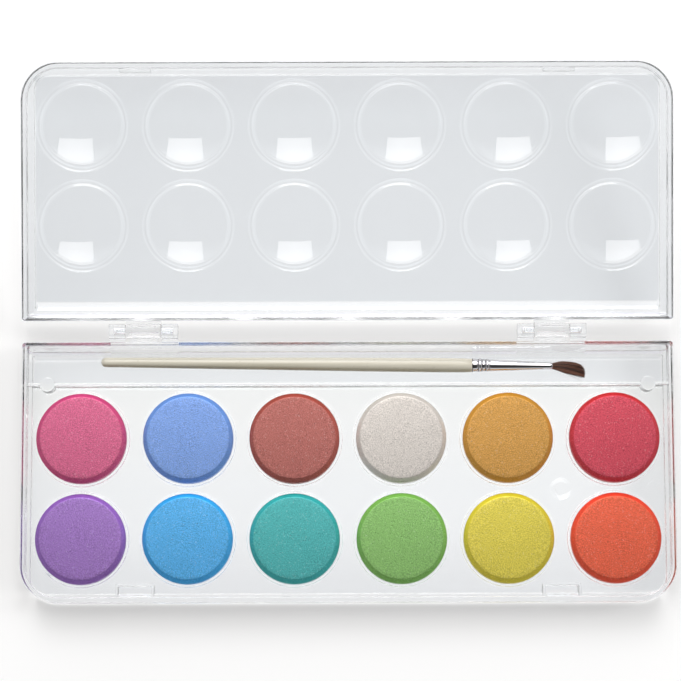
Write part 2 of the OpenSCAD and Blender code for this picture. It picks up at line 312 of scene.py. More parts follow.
def make_tray():
    # hinge side of the tray: a steep straight slope down to the floor
    rear = [(1.6, TRAY_H - 0.4), (4.97, FLOOR_T)]
    t = shell("tray_moulding", BOX_W, BOX_D, TRAY_H, FLOOR_T, 0.55, 0.95, 1.75, 1.5, FLOOR_T + 3.2, 3.05, 5.6, rear, 0.3)
    # collars round the cakes
    v, f = [], []
    prof = [(15.22, 1.1), (15.22, 2.62), (15.26, 2.78), (15.36, 2.88), (15.5, 2.9), (15.64, 2.87), (15.76, 2.78), (15.85, 2.6),
            (15.92, 2.25), (15.97, 1.95), (16.06, 1.74), (16.2, 1.63), (16.4, 1.597), (16.4, 1.1)]
    for x in COLS:
        for j in range(2):
            revolve(prof, 112, x, ROW_Y - j * PITCH_Y, 0, (v, f))
    boolean(t, new_obj("collars", v, f), "UNION")
    # rib between the trough and the cakes
    h = RIB_T / 2
    rib = [(-h - 0.42, 1.1), (-h - 0.42, 1.597), (-h - 0.2, 1.66), (-h - 0.06, 1.82), (-h, 2.1), (-h + 0.06, RIB_TOP - 0.35), (-h + 0.15, RIB_TOP - 0.12), (-h + 0.36, RIB_TOP)]
    rib = [(RIB_Y + y, z) for y, z in rib] + [(RIB_Y - y, z) for y, z in reversed(rib)]
    boolean(t, new_obj("rib", *prism_x(rib, -BOX_W / 2 + 0.9, BOX_W / 2 - 0.9)), "UNION")
    for s in (-1, 1):
        v, f = revolve([(0, 1.1), (POST_R + 0.1, 1.1), (POST_R + 0.04, 2.0), (POST_R, 6.2), (POST_R - 0.1, 6.45), (POST_R - 0.3, 6.55), (POST_R - 0.36, 6.56), (POST_R - 0.5, 6.56), (0, 6.56)], 48, s * POST_X, RIB_Y)
        boolean(t, new_obj("post", v, f), "UNION")
        # catch pocket: a low wall round three sides of a slot, and a ridge under the rim
        x0, x1, yb, yf, w = s * CATCH_X - CATCH_W / 2, s * CATCH_X + CATCH_W / 2, -BOX_D / 2 + 1.0, -BOX_D / 2 + 6.35, 0.9
        poly = [(x0, yb), (x0 + w, yb), (x0 + w, yf - w), (x1 - w, yf - w), (x1 - w, yb), (x1, yb), (x1, yf), (x0, yf)]
        poly = round_poly(poly, [0, 0, 0.3, 0.3, 0, 0, 0.6, 0.6], 4)
        u = new_obj("pocket", *prism_z(list(reversed(poly)), 1.1, 7.5))
        bevelled(u, 0.18, 2, lambda e: min(v.co.z for v in e.verts) > 7.4)
        boolean(t, u, "UNION")
        ridge = round_poly([(-BOX_D / 2 + 1.0, 7.9), (-BOX_D / 2 + 2.6, 8.15), (-BOX_D / 2 + 2.6, 8.5), (-BOX_D / 2 + 1.0, 8.8)], [0, 0.12, 0.12, 0], 3)
        boolean(t, new_obj("ridge", *prism_x(ridge, s * CATCH_X - 5, s * CATCH_X + 5)), "UNION")
    # hinge ears; the chamfer under the wall stops at each hinge
    for hx in (-1, 1):
        y1 = BOX_D / 2 - 0.06
        boolean(t, new_obj("foot", *prism_x([(y1 - 1.2, 0.001), (y1 - 0.1, 0.001), (y1, 0.1), (y1, 1.2), (y1 - 1.2, 1.2)], hx * HINGE_X - 11.4, hx * HINGE_X + 11.4)), "UNION")
        for s in (-1, 1):
            a = hx * HINGE_X + s * EAR_X0
            b = a + s * EAR_L
            poly = [(AXIS_Y + y, AXIS_Z + z) for y, z in barrel(AXIS_BACK + 0.9)]
            ear = bevelled(new_obj("ear", *prism_x(poly, min(a, b), max(a, b))), 0.2, 2, lambda e: min(v.co.y for v in e.verts) > BOX_D / 2 + 0.02)
            boolean(t, ear, "UNION")
            boolean(t, hinge_bore(hx * HINGE_X, s), "DIFFERENCE")
    # moulding marks: shallow ejector discs and the gate
    v, f = [], []
    for x, y, r in ((-35.45, -5.4, 3.0), (102.2, -5.3, 2.6), (-35.5, -33.2, 2.9), (36.0, -33.2, 2.9), (-100.3, -34.9, 2.0), (100.6, -34.9, 2.0)):
        revolve([(0, 1.5), (r - 0.07, 1.5), (r, 1.57), (r, 1.9), (0, 1.9)], 48, x, y, 0, (v, f))
    revolve([(2.15, 1.3), (3.0, 1.34), (3.6, 1.48), (3.75, 1.57), (3.75, 1.9), (1.95, 1.9), (2.0, 1.45)], 56, 70.9, -5.45, 0, (v, f))
    boolean(t, new_obj("marks", v, f), "DIFFERENCE")
    tidy(t)
    mark_walls(t, BOX_W, -BOX_D / 2, BOX_D / 2)
    for f in t.data.polygons:
        if f.center.y > BOX_D / 2 - 5.7 and f.material_index == 2:
            f.material_index = 3
        # the chamfer under the hinge side is left matt from the mould
        if f.center.y > BOX_D / 2 - 1.2 and f.center.z < 1.1 and f.normal.y > 0.3 and f.normal.z < -0.3:
            f.material_index = 4
    transform(t, Matrix.Scale(MM, 4))
    return smooth(t)


def make_lid():
    # hinge side of the lid: a hollow that leaves the panel at a crease and steepens to the rim
    ca, cb = 6.3, LID_H - 0.4 - PANEL_T
    rear = [(1.3 + ca * (1 - math.cos(math.radians(70 * k / 20))), PANEL_T + cb * (1 - math.sin(math.radians(70 * k / 20)))) for k in range(21)]
    rear += [(6.38, PANEL_T + 0.03), (6.44, PANEL_T + 0.008), (6.5, PANEL_T)]
    t = shell("lid_moulding", LID_W, LID_D, LID_H, PANEL_T, 0.5, 0.95, 2.0, 1.25, PANEL_T + 2.4, 4.15, 5.3, rear, 0.3)
    # from the shell's frame to the lid's: hinge side at s = AXIS_BACK, panel down
    transform(t, Matrix.Translation((0, AXIS_BACK + LID_D / 2, LID_Z0)) @ Matrix.Scale(-1, 4, (0, 1, 0)))
    t.data.flip_normals()
    dc = math.sqrt(DISH_RAD ** 2 - DISH_R ** 2) + DISH_Z
    rows = (AXIS_Y - ROW_Y, AXIS_Y - ROW_Y + PITCH_Y)
    # outside of the wells: low domes under the panel
    ro = DISH_RAD + DISH_T
    prof = [(0, dc - ro)]
    for k in range(1, 15):
        r = 12.1 * k / 14
        prof.append((r, dc - math.sqrt(ro * ro - r * r)))
    prof += [(12.45, -1.645), (12.8, -1.605), (13.2, -1.585), (13.4, -0.9), (0, -0.9)]
    v, f = [], []
    for x in COLS:
        for s in rows:
            revolve(prof, 112, x, s, PANEL_Z, (v, f))
    boolean(t, new_obj("domes", v, f), "UNION")
    # inside: a spherical dish up to a round crest, a groove round it, and a small round-over into the panel
    prof = [(0, dc - DISH_RAD)]
    for k in range(1, 17):
        r = (DISH_R - 0.04) * k / 16
        prof.append((r, dc - math.sqrt(DISH_RAD ** 2 - r * r)))
    for k in range(9):
        q = math.radians(-19.8 + 52.8 * k / 8)
        prof.append((13.218 + math.sin(q), -1.05 + math.cos(q)))
    for k in range(1, 15):
        q = math.radians(-33 + 76.9 * k / 14)
        prof.append((14.58 + 1.5 * math.sin(q), 1.0467 - 1.5 * math.cos(q)))
    for k in range(1, 6):
        q = math.radians(43.9 - 42 * k / 5)
        prof.append((15.704 - 0.12 * math.sin(q), -0.12 + 0.12 * math.cos(q)))
    prof += [(15.77, 0.004), (15.77, 0.5), (0, 0.5)]
    v, f = [], []
    for x in COLS:
        for s in rows:
            revolve(prof, 128, x, s, PANEL_Z, (v, f))
    boolean(t, new_obj("dishes", v, f), "DIFFERENCE")
    # snap tongues
    s0 = AXIS_Y + BOX_D / 2 - 1.8 - 2.1
    s1 = AXIS_BACK + LID_D - 1.2
    for q in (-1, 1):
        poly = [(s0, -3.6), (s1, -3.6), (s1, -0.5), (s0 + 1.0, -0.5), (s0 + 1.0, 1.2), (s0 + 1.35, 1.5), (s0 + 1.35, 1.6), (s0 + 1.0, 1.9), (s0 + 0.9, 2.4), (s0 + 0.1, 2.4), (s0, 2.2)]
        tg = bevelled(new_obj("tongue", *prism_x(poly, q * CATCH_X - 5.2, q * CATCH_X + 5.2)), 0.12, 2, lambda e: max(v.co.y for v in e.verts) < s1 - 0.05)
        boolean(t, tg, "UNION")
    # knuckles with their stub pins, window and stop heel
    for hx in (-1, 1):
        cx = hx * HINGE_X
        poly = [(-y, z) for y, z in reversed(barrel(AXIS_BACK + 0.8))]
        kn = new_obj("knuckle", *prism_x(poly, cx - KNUCKLE_L / 2, cx + KNUCKLE_L / 2))
        bevelled(kn, 0.2, 2, lambda e: max(v.co.y for v in e.verts) < AXIS_BACK - 0.02)
        win = new_obj("window", *prism_x(round_poly([(-1.6, 0.9), (1.6, 0.9), (1.75, 3.2), (-1.75, 3.2)], [0.5, 0.5, 0, 0], 4), cx - KNUCKLE_L / 2 + 1.75, cx + KNUCKLE_L / 2 - 1.75))
        boolean(kn, win, "DIFFERENCE")
        heel = new_obj("heel", *prism_x(round_poly([(-AXIS_BACK + 0.15, -3.1), (0.15, -3.1), (0.15, -1.3), (-AXIS_BACK + 0.15, -1.3)], 0.25, 3), cx - KNUCKLE_L / 2 + 1, cx + KNUCKLE_L / 2 - 1))
        transform(heel, Matrix.Rotation(-LID_LIFT, 4, "X"))
        boolean(kn, heel, "UNION")
        for s in (-1, 1):
            v, f = revolve([(0, -0.6), (PIN_R, -0.6), (PIN_R, PIN_L - 0.25), (PIN_R - 0.25, PIN_L), (0, PIN_L)], 40)
            pin = new_obj("pin", v, f)
            transform(pin, Matrix.Translation((cx + s * KNUCKLE_L / 2, 0, 0)) @ Matrix.Rotation(s * math.pi / 2, 4, "Y"))
            boolean(kn, pin, "UNION")
        boolean(t, kn, "UNION")
    tidy(t, True)
    mark_walls(t, LID_W, AXIS_BACK, AXIS_BACK + LID_D, AXIS_BACK + 7.9)
    for p in t.data.polygons:
        if p.center.y < AXIS_BACK - 0.01:
            p.material_index = 3
        elif p.center.y < AXIS_BACK + 1.0 and p.center.z < LID_Z0 + 0.9 and p.normal.y < -0.3 and p.normal.z < -0.3:
            p.material_index = 4
    # painted highlight and shade: paler (over 0.5) and darker (under 0.5) rings, mostly at the left and right of each
    # well
    stops = [(0, 0), (12.86, 0), (12.95, 1), (14.16, 1), (14.3, 0.3), (14.44, -0.5), (14.58, -0.8), (14.73, -0.1), (14.87, 0.5),
             (15.0, 0.8), (15.28, 0.8), (15.4, 0.2), (15.52, -0.8), (15.63, -0.8), (15.69, 0), (999, 0)]
    tone = []
    for q in t.data.vertices:
        dx = min((q.co.x - x for x in COLS), key=abs)
        dy = min((q.co.y - s for s in rows), key=abs)
        r = math.hypot(dx, dy)
        g = 0.0
        if q.co.z > PANEL_Z - 0.75:
            for (r0, g0), (r1, g1) in zip(stops, stops[1:]):
                if r0 <= r < r1:
                    g = g0 + (g1 - g0) * (r - r0) / (r1 - r0)
        tone.append(0.5 + 0.5 * g * (0.25 + 0.75 * (dx / max(r, 0.1)) ** 2))
    t.data.attributes.new("ring", "FLOAT", "POINT").data.foreach_set("value", tone)
    place = Matrix.Scale(MM, 4) @ Matrix.Translation((0, AXIS_Y, AXIS_Z)) @ Matrix.Rotation(LID_LIFT, 4, "X")
    transform(t, place)
    return smooth(t)


# ---------------------------------------------------------------- node helpers
def material(name):
    m = bpy.data.materials.new(name)
    m.use_nodes = True
    nt = m.node_tree
    nt.nodes.clear()
    out = nt.nodes.new("ShaderNodeOutputMaterial")
    p = nt.nodes.new("ShaderNodeBsdfPrincipled")
    nt.links.new(p.outputs[0], out.inputs[0])
    return m, nt, p, out


def node(nt, kind, **kw):
    n = nt.nodes.new(kind)
    for k, v in kw.items():
        if k in n.bl_rna.properties:
            setattr(n, k, v)
        else:
            n.inputs[k].default_value = v
    return n


def coords(nt):
    return nt.nodes.new("ShaderNodeTexCoord").outputs["Object"]


def tex_noise(nt, vec, scale, detail=2.0, rough=0.5):
    n = node(nt, "ShaderNodeTexNoise", Scale=scale, Detail=detail, Roughness=rough)
    nt.links.new(vec, n.inputs["Vector"])
    return n.outputs["Fac"]


def ramp(nt, fac, stops):
    r = nt.nodes.new("ShaderNodeValToRGB")
    el = r.color_ramp.elements
    while len(el) < len(stops):
        el.new(0.5)
    for e, (p, c) in zip(el, stops):
        e.position = p
        e.color = (c, c, c, 1) if isinstance(c, (int, float)) else (*c, 1)
    nt.links.new(fac, r.inputs[0])
    return r.outputs[0]


def math_node(nt, op, a, b=None):
    n = nt.nodes.new("ShaderNodeMath")
    n.operation = op
    for i, x in enumerate((a, b)):
        if x is None:
            continue
        if isinstance(x, (int, float)):
            n.inputs[i].default_value = x
        else:
            nt.links.new(x, n.inputs[i])
    return n.outputs[0]


def mix_col(nt, fac, a, b, mode="MIX"):
    n = nt.nodes.new("ShaderNodeMix")
    n.data_type, n.blend_type = "RGBA", mode
    for sock, x in ((n.inputs[0], fac), (n.inputs[6], a), (n.inputs[7], b)):
        if isinstance(x, (int, float)):
            sock.default_value = x
        elif isinstance(x, tuple):
            sock.default_value = (*x, 1)
        else:
            nt.links.new(x, sock)
    return n.outputs[2]


def bump(nt, height, strength, dist, normal=None):
    b = node(nt, "ShaderNodeBump", Strength=strength, Distance=dist)
    nt.links.new(height, b.inputs["Height"])
    if normal is not None:
        nt.links.new(normal, b.inputs["Normal"])
    return b.outputs[0]


def lin(r, g, b):
    def f(c):
        c /= 255
        return c / 12.92 if c <= 0.04045 else ((c + 0.055) / 1.055) ** 2.4
    return (f(r), f(g), f(b))


# ---------------------------------------------------------------- materials
def clear_plastic(name, tint, lamp, ripple=0.0, rings=None, frost=0.0):
    """Moulded polystyrene. tint is what a sight line keeps through one thickness, or a list of (y, tint) that paints
    shade along y; lamp what a lamp's light keeps at each face.
    """
    m, nt, p, out = material(name)
    if isinstance(tint, list):
        # painted shade along y: the tray darker toward its front and over the trough, the lid darker toward its far
        # edge
        y0, y1 = tint[0][0], tint[-1][0]
        xyz = nt.nodes.new("ShaderNodeSeparateXYZ")
        nt.links.new(coords(nt), xyz.inputs[0])
        at = node(nt, "ShaderNodeMapRange")
        nt.links.new(xyz.outputs["Y"], at.inputs["Value"])
        at.inputs["From Min"].default_value, at.inputs["From Max"].default_value = y0 * MM, y1 * MM
        col = ramp(nt, at.outputs[0], [((y - y0) / (y1 - y0), c) for y, c in tint])
        if rings:
            # painted highlight and shade rings round the wells
            rg = nt.nodes.new("ShaderNodeAttribute")
            rg.attribute_name = rings
            col = mix_col(nt, 1.0, col, ramp(nt, rg.outputs["Fac"], [(0.0, 0.92), (0.5, 1.0), (1.0, 1.08)]), "MULTIPLY")
        nt.links.new(col, p.inputs["Base Color"])
    else:
        p.inputs["Base Color"].default_value = (*tint, 1)
    p.inputs["IOR"].default_value = 1.57
    p.inputs["Transmission Weight"].default_value = 1.0
    o = coords(nt)
    haze = tex_noise(nt, o, 260, 4, 0.6)
    nt.links.new(ramp(nt, haze, [(0.45, 0.01 + frost), (0.8, 0.03 + frost)]), p.inputs["Roughness"])
    if ripple:
        nt.links.new(bump(nt, tex_noise(nt, o, 30, 1.0, 0.4), ripple, 0.0004), p.inputs["Normal"])
    # lamps and soft bounced light go straight through, a little dimmed
    lp = nt.nodes.new("ShaderNodeLightPath")
    tr = node(nt, "ShaderNodeBsdfTransparent")
    tr.inputs["Color"].default_value = (lamp, lamp, lamp, 1)
    shader = p.outputs[0]
    for ray in ("Is Shadow Ray", "Is Diffuse Ray"):
        mx = nt.nodes.new("ShaderNodeMixShader")
        nt.links.new(lp.outputs[ray], mx.inputs[0])
        nt.links.new(shader, mx.inputs[1])
        nt.links.new(tr.outputs[0], mx.inputs[2])
        shader = mx.outputs[0]
    nt.links.new(shader, out.inputs[0])
    return m


def cake_material(name, rgb, seed):
    """Pressed pearlescent paint: fine grain, darker pits, paler dust and small bright flakes."""
    m, nt, p, out = material(name)
    o = coords(nt)
    shift = node(nt, "ShaderNodeVectorMath", operation="ADD")
    nt.links.new(o, shift.inputs[0])
    shift.inputs[1].default_value = (0.37 * seed, 0.91 * seed, 0.13 * seed)
    v = shift.outputs[0]
    c = lin(*rgb)
    dark = tuple(x * 0.5 for x in c)
    pale = tuple(min(1, x * 0.7 + 0.38) for x in c)
    grain = tex_noise(nt, v, 3000, 2, 0.75)
    g = ramp(nt, grain, [(0.36, 0.0), (0.5, 0.5), (0.64, 1.0)])
    col = mix_col(nt, g, tuple(x * 0.70 for x in c), tuple(min(1, x * 1.28 + 0.02) for x in c))
    cloud = tex_noise(nt, v, 120, 3, 0.6)
    col = mix_col(nt, ramp(nt, cloud, [(0.35, 0.0), (0.7, 0.35)]), col, tuple(min(1, x * 1.08 + 0.01) for x in c))
    pit = tex_noise(nt, v, 2300, 1, 0.5)
    pm = ramp(nt, pit, [(0.27, 1.0), (0.33, 0.0)])
    col = mix_col(nt, pm, col, dark)
    vor = node(nt, "ShaderNodeTexVoronoi", Scale=3600.0)
    nt.links.new(v, vor.inputs["Vector"])
    sep = nt.nodes.new("ShaderNodeSeparateColor")
    nt.links.new(vor.outputs["Color"], sep.inputs[0])
    flake = ramp(nt, sep.outputs[0], [(0.955, 0.0), (0.99, 1.0)])
    col = mix_col(nt, math_node(nt, "MULTIPLY", flake, 0.4), col, pale)
    # the bevel is painted deeper in tone than the face, partly as pigment with less pearl and partly as painted shade;
    # most of all toward the back, where the painted shade tones down the side that faces the lamps
    at = nt.nodes.new("ShaderNodeAttribute")
    at.attribute_name = "bevel"
    col = mix_col(nt, at.outputs["Fac"], col, tuple(max(x - 0.1, 0.016) * 1.12 for x in c))
    nt.links.new(col, p.inputs["Base Color"])
    nt.links.new(ramp(nt, flake, [(0.0, 0.5), (1.0, 0.34)]), p.inputs["Roughness"])
    p.inputs["Metallic"].default_value = 0.78
    p.inputs["Specular IOR Level"].default_value = 0.3
    h = math_node(nt, "SUBTRACT", grain, math_node(nt, "MULTIPLY", pm, 0.8))
    nt.links.new(bump(nt, h, 0.45, 0.00015), p.inputs["Normal"])
    return m


def handle_material():
    m, nt, p, out = material("handle_paint")
    o = coords(nt)
    st = node(nt, "ShaderNodeMapping")
    st.inputs["Scale"].default_value = (12, 420, 420)
    nt.links.new(o, st.inputs[0])
    grain = tex_noise(nt, st.outputs[0], 1.0, 5, 0.6)
    col = mix_col(nt, ramp(nt, grain, [(0.32, 0.0), (0.7, 1.0)]), lin(194, 188, 170), lin(219, 214, 200))
    spot = tex_noise(nt, o, 900, 2, 0.6)
    col = mix_col(nt, ramp(nt, spot, [(0.66, 0.0), (0.76, 0.35)]), col, lin(140, 132, 104))
    # painted shade: browner and darker round the side that faces the cakes, with a painted dark band and a paler
    # painted highlight band higher up standing in for the handle's reflections
    face = nt.nodes.new("ShaderNodeSeparateXYZ")
    nt.links.new(nt.nodes.new("ShaderNodeTexCoord").outputs["Normal"], face.inputs[0])
    turn = node(nt, "ShaderNodeMapRange")
    nt.links.new(face.outputs["Y"], turn.inputs["Value"])
    turn.inputs["From Min"].default_value, turn.inputs["From Max"].default_value = 1.0, -1.0
    shade = [(0.0, 0.94), (0.16, 0.87), (0.25, 0.81), (0.32, 0.87), (0.4, 1.02), (0.5, 1.06), (0.7, 1.05),
             (0.78, (0.95, 0.94, 0.91)), (0.86, (0.7, 0.67, 0.59)), (0.94, (0.57, 0.53, 0.43)), (1.0, (0.5, 0.46, 0.38))]
    col = mix_col(nt, 1.0, col, ramp(nt, turn.outputs[0], shade), "MULTIPLY")
    nt.links.new(col, p.inputs["Base Color"])
    rg = tex_noise(nt, o, 500, 3, 0.6)
    nt.links.new(ramp(nt, rg, [(0.3, 0.26), (0.75, 0.42)]), p.inputs["Roughness"])
    p.inputs["Coat Weight"].default_value = 0.5
    p.inputs["Coat Roughness"].default_value = 0.05
    nt.links.new(bump(nt, grain, 0.12, 0.0003), p.inputs["Normal"])
    return m


def ferrule_material():
    m, nt, p, out = material("ferrule_metal")
    o = coords(nt)
    p.inputs["Metallic"].default_value = 1.0
    st = node(nt, "ShaderNodeMapping")
    st.inputs["Scale"].default_value = (60, 2500, 2500)
    nt.links.new(o, st.inputs[0])
    drawn = tex_noise(nt, st.outputs[0], 1.0, 3, 0.6)
    col = mix_col(nt, drawn, lin(222, 221, 224), lin(242, 242, 244))
    smut = tex_noise(nt, o, 320, 4, 0.65)
    col = mix_col(nt, ramp(nt, smut, [(0.6, 0.0), (0.8, 0.35)]), col, lin(168, 160, 156))
    # darker in the crimp grooves and at the ferrule's mouth
    at = nt.nodes.new("ShaderNodeAttribute")
    at.attribute_name = "groove"
    col = mix_col(nt, math_node(nt, "MULTIPLY", at.outputs["Fac"], 0.9), col, lin(78, 66, 72))
    nt.links.new(col, p.inputs["Base Color"])
    nt.links.new(ramp(nt, drawn, [(0.3, 0.035), (0.75, 0.09)]), p.inputs["Roughness"])
    nt.links.new(bump(nt, drawn, 0.05, 0.0001), p.inputs["Normal"])
    return m


def hair_material():
    m, nt, p, out = material("hair")
    o = coords(nt)
    n = tex_noise(nt, o, 1800, 3, 0.6)
    at = nt.nodes.new("ShaderNodeAttribute")
    at.attribute_name = "tone"
    col = mix_col(nt, ramp(nt, at.outputs["Fac"], [(0.2, 0.0), (0.5, 0.45), (0.8, 1.0)]), lin(17, 8, 6), lin(122, 80, 63))
    col = mix_col(nt, ramp(nt, n, [(0.4, 0.0), (0.7, 0.3)]), col, lin(46, 25, 20))
    nt.links.new(col, p.inputs["Base Color"])
    nt.links.new(ramp(nt, n, [(0.3, 0.32), (0.7, 0.5)]), p.inputs["Roughness"])
    p.inputs["Specular IOR Level"].default_value = 0.3
    return m


def glue_material():
    m, nt, p, out = material("glue")
    n = tex_noise(nt, coords(nt), 700, 3, 0.6)
    nt.links.new(mix_col(nt, n, lin(170, 130, 70), lin(205, 165, 100)), p.inputs["Base Color"])
    nt.links.new(ramp(nt, n, [(0.3, 0.3), (0.7, 0.5)]), p.inputs["Roughness"])
    return m


# ---------------------------------------------------------------- tray and lid
tray = make_tray()
lid = make_lid()
# tint ramps with painted shade: darker toward the tray's front and over the trough, and toward the lid's far edge
TRAY_TINT_AND_SHADE = [(-40, (0.89, 0.91, 0.935)), (-20, (0.955, 0.975, 0.995)), (-5, (0.96, 0.982, 1.0)), (22, (0.985, 1.0, 1.0)), (28, (0.98, 1.0, 1.0)), (31, (0.907, 0.934, 0.956))]
LID_TINT_AND_SHADE = [(55, (0.812, 0.843, 0.872)), (80, (0.785, 0.813, 0.841)), (105, (0.779, 0.807, 0.835)), (119, (0.765, 0.795, 0.822)), (130, (0.712, 0.737, 0.763))]
for ob, body, tint, ripple in ((tray, "tray", TRAY_TINT_AND_SHADE, 0.002), (lid, "lid", LID_TINT_AND_SHADE, 0.004)):
    which = [f.material_index for f in ob.data.polygons]
    ob.data.materials.clear()
    ob.data.materials.append(clear_plastic("clear_plastic_" + body, tint, 0.99, ripple, "ring" if body == "lid" else None))
    ob.data.materials.append(clear_plastic("clear_plastic_%s_wall" % body, (0.92, 0.935, 0.95), 0.58))
    ob.data.materials.append(clear_plastic("clear_plastic_%s_edge" % body, (0.93, 0.942, 0.955) if body == "lid" else (0.98, 0.987, 0.997), 0.93))
    ob.data.materials.append(clear_plastic("clear_plastic_%s_hinge" % body, (0.985, 0.99, 1.0), 0.95 if body == "lid" else 0.985))
    # the seam slot is frosted, and its dark purple-grey tint is painted shade and coloured reflection along that edge
    ob.data.materials.append(clear_plastic("clear_plastic_%s_seam_painted_shade" % body, (0.77, 0.77, 0.89) if body == "lid" else (0.85, 0.84, 0.93), 0.95, frost=0.22))
    ob.data.polygons.foreach_set("material_index", which)
    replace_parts(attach(ob, body), body)

# ---------------------------------------------------------------- paint cakes
CAKES = [
    ("paint_pink", 0, 0, (208, 105, 141)), ("paint_periwinkle", 1, 0, (128, 162, 222)), ("paint_rust", 2, 0, (179, 109, 102)),
    ("paint_pearl", 3, 0, (212, 206, 200)), ("paint_ochre", 4, 0, (205, 155, 82)), ("paint_crimson", 5, 0, (205, 80, 96)),
    ("paint_violet", 0, 1, (158, 121, 191)), ("paint_azure", 1, 1, (90, 174, 232)), ("paint_teal", 2, 1, (83, 177, 177)),
    ("paint_green", 3, 1, (139, 187, 111)), ("paint_yellow", 4, 1, (217, 203, 86)), ("paint_orange", 5, 1, (231, 104, 76)),
]


def smoothstep(a, b, x):
    t = max(0, min(1, (x - a) / (b - a)))
    return t * t * (3 - 2 * t)


def make_cake(name, i, j, rgb, seed):
    rng = random.Random(seed)
    dx, dy = (-0.06, -0.1) if name == "paint_rust" else (rng.uniform(-0.05, 0.05), rng.uniform(-0.06, 0.02))
    h = CAKE_H
    top = lambda r: h - 0.26 * (r / 13.6) ** 2
    e = top(13.6)
    prof = [(0, 0.0), (14.7, 0.0), (14.98, 0.2), (14.98, e - 1.28), (14.965, e - 1.2), (14.91, e - 1.11), (14.6, e - 0.83), (14.2, e - 0.47),
            (13.88, e - 0.19), (13.78, e - 0.105), (13.7, e - 0.05), (13.58, e - 0.011)]
    prof += [(r, top(r)) for r in (13.4, 12.4, 11.2, 9.8, 8.2, 6.4, 4.4, 2.2)] + [(0, h)]
    v, f = revolve(prof, 144, COLS[i] + dx, ROW_Y - j * PITCH_Y + dy, FLOOR_T - 0.02)
    ob = new_obj(name + "_cake", v, f)
    off = Vector((seed * 3.1, seed * 1.7, 0))
    for q in ob.data.vertices:
        z = q.co.z - FLOOR_T
        if z > CAKE_H - 1.6:
            # pressed by hand tools: the face is not quite flat and the bevel is a little crumbly
            n1 = noise.noise((q.co + off) * 0.16)
            n2 = noise.noise((q.co + off) * 1.1)
            q.co.z += 0.028 * n1 + 0.014 * n2 - 0.03
            if z < CAKE_H - 0.3:
                c = Vector((COLS[i] + dx, ROW_Y - j * PITCH_Y + dy, q.co.z))
                d = q.co - c
                q.co = c + d * (1 + 0.0016 * n2 - 0.001)
    cen = Vector((COLS[i] + dx, ROW_Y - j * PITCH_Y + dy))
    # painted shade: the bevel's deeper tone, weighted toward the back of each cake, the side the lamps light most
    rim = ob.data.attributes.new("bevel", "FLOAT", "POINT")
    rim.data.foreach_set("value", [smoothstep(13.5, 13.85, (q.co.xy - cen).length) * (0.4 + 0.5 * max(0, (q.co.y - cen.y) / 15)) for q in ob.data.vertices])
    transform(ob, Matrix.Scale(MM, 4))
    smooth(ob, 60, False)
    ob.visible_shadow = ob.visible_diffuse = False
    ob.data.materials.append(cake_material(name, rgb, seed))
    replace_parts(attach(ob, "tray"), name)
    return ob


for k, (name, i, j, rgb) in enumerate(CAKES):
    make_cake(name, i, j, rgb, k + 1)

# ---------------------------------------------------------------- brush
HANDLE_L, FERRULE_L = 123.9, 26.8
BUTT_R, BELLY_R, FR0, FR1 = 1.6, 2.45, 2.3, 1.12
BRUSH = (Matrix.Scale(MM, 4) @ Matrix.Translation((-82.4, 37.25, FLOOR_T + BUTT_R + 0.12)) @ Matrix.Rotation(math.radians(-0.70), 4, "Z")
         @ Matrix.Rotation(-math.asin((BELLY_R - BUTT_R) / 116), 4, "Y") @ Matrix.Rotation(math.pi / 2, 4, "Y"))


def handle_r(z):
    keys = [(BUTT_R, BUTT_R), (40, BUTT_R + 0.42 * (BELLY_R - BUTT_R)), (80, BUTT_R + 0.8 * (BELLY_R - BUTT_R)), (112, BELLY_R), (117, BELLY_R), (HANDLE_L, FR0 - 0.02)]
    for (z0, r0), (z1, r1) in zip(keys, keys[1:]):
        if z <= z1:
            return r0 + (r1 - r0) * (z - z0) / (z1 - z0)
    return keys[-1][1]


